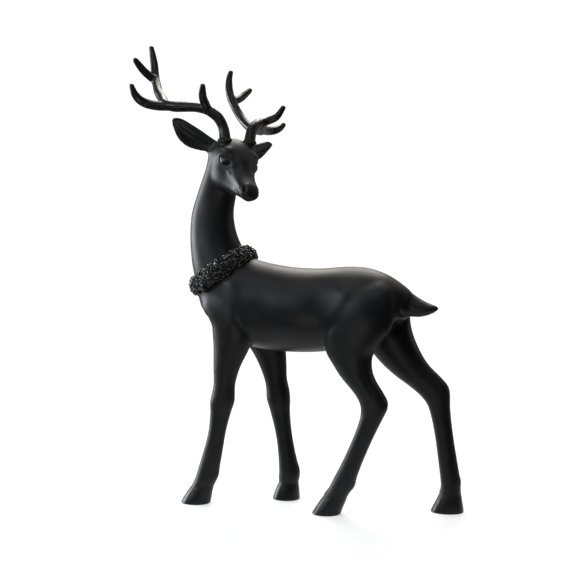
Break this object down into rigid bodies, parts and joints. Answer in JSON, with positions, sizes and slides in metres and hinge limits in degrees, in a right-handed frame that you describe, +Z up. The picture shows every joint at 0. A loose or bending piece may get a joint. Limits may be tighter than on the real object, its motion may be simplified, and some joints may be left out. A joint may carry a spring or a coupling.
{
  "type": "reindeer figurine",
  "caption": "Standing black reindeer figurine with branched antlers, a leafy wreath round its neck and its head turned over one shoulder.",
  "frame": {"origin": "the middle of the footprint box, on the ground the four soles stand on", "axes": "+Z up; the body's length lies along X with the chest towards -X and the tail towards +X; the face looks towards -Y and +X"},
  "size_m": [0.341, 0.1792, 0.4402],
  "materials": {
    "satin_black": "satin black paint over cast resin",
    "polished_black": "polished black, streaked lengthwise",
    "wreath_black": "semi-gloss black over fine moulded leaves"
  },
  "bodies": {
    "root": {"deer_casting": "satin_black", "antler_right": "polished_black", "antler_left": "polished_black", "wreath": "wreath_black"}
  },
  "joints": []
}
